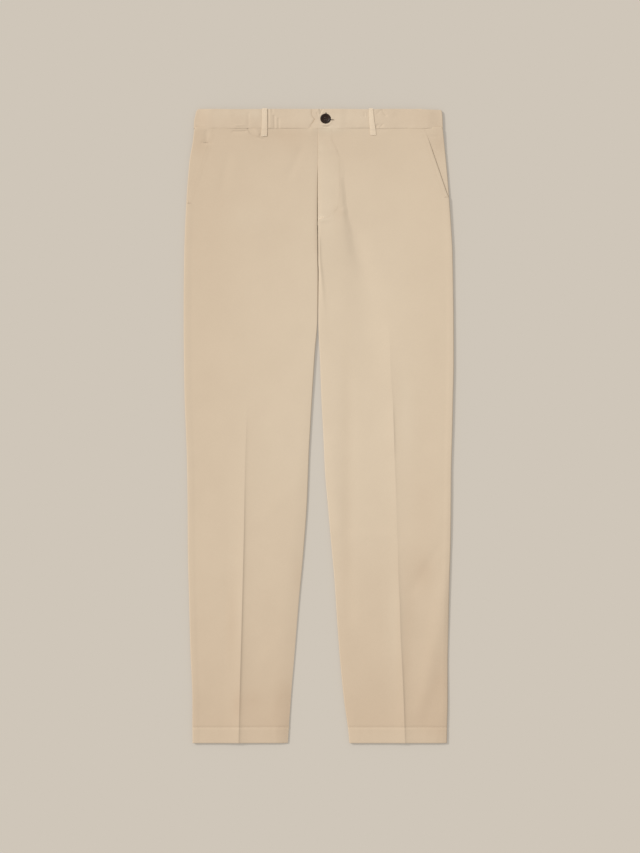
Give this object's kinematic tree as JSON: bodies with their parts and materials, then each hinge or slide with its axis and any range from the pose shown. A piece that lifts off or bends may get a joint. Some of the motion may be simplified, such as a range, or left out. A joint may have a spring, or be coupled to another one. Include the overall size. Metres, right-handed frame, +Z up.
{
  "type": "chino trousers",
  "caption": "Pale sand cotton chino trousers laid flat, front side up, with pressed creases, slash pockets, belt loops, a closed fly and a dark waist button.",
  "frame": {"origin": "middle of the outline seen from above, on the surface that the trousers lie on", "axes": "+Y to the waist, +X to the wearer's left, +Z up out of the front of the trousers"},
  "size_m": [0.448, 1.06, 0.0113],
  "materials": {
    "cloth": "pale sand cotton twill, garment-washed, matt",
    "band_cloth": "the same twill, stiffened, top-stitched",
    "loop_cloth": "the same twill, folded double and rubbed a little lighter",
    "inner_cloth": "the same twill, in the shade of the outer layer",
    "button": "very dark brown, horn-like, semi-gloss, four holes"
  },
  "bodies": {
    "root": {"front_right": "cloth", "front_left": "cloth", "back_right": "cloth", "back_left": "cloth", "waistband_right": "band_cloth", "waistband_left": "band_cloth", "fly_facing": "inner_cloth", "pocket_facing_right": "inner_cloth", "pocket_facing_left": "inner_cloth", "hem_front_right": "inner_cloth", "hem_front_left": "inner_cloth", "hem_back_right": "inner_cloth", "hem_back_left": "inner_cloth", "belt_loop_front_right": "loop_cloth", "belt_loop_front_left": "loop_cloth", "belt_loop_back_right": "loop_cloth", "belt_loop_back_left": "loop_cloth", "belt_loop_back_centre": "loop_cloth", "button": "button"}
  },
  "joints": []
}
